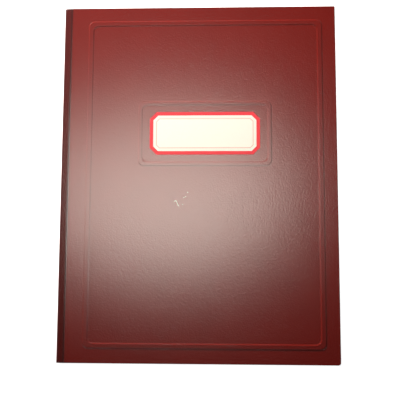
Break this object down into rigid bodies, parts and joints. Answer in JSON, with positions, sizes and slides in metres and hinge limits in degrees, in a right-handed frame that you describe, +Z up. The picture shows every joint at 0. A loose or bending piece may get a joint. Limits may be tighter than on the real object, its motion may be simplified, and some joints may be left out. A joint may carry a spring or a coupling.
{
  "type": "report folder",
  "caption": "Closed letter-size card report cover: embossed border and title panel, octagonal label, scored fold at the left and metal prong fasteners inside.",
  "frame": {"origin": "on the resting plane, under the middle of the closed folder", "axes": "+X from the fold to the fore edge, +Y from the tail to the head, +Z up out of the front cover"},
  "size_m": [0.2253, 0.2922, 0.0034],
  "materials": {
    "cover_card": "dark red leather-grained card, satin",
    "label_paper": "smooth cream paper with a red printed border",
    "strip_card": "plain card, matte",
    "fastener_metal": "bright thin sheet steel"
  },
  "bodies": {
    "back": {"back_cover": "cover_card", "binding_strip": "strip_card", "tang_fastener_head": "fastener_metal", "tang_fastener_middle": "fastener_metal", "tang_fastener_tail": "fastener_metal"},
    "front": {"front_cover": "cover_card", "title_label": "label_paper"}
  },
  "joints": [
    {"name": "front_cover_hinge", "type": "hinge", "parent": "back", "child": "front", "pos_m": [-0.11285, 0, 0.0016], "axis": [0, -1, 0], "range_deg": [0, 180]}
  ]
}
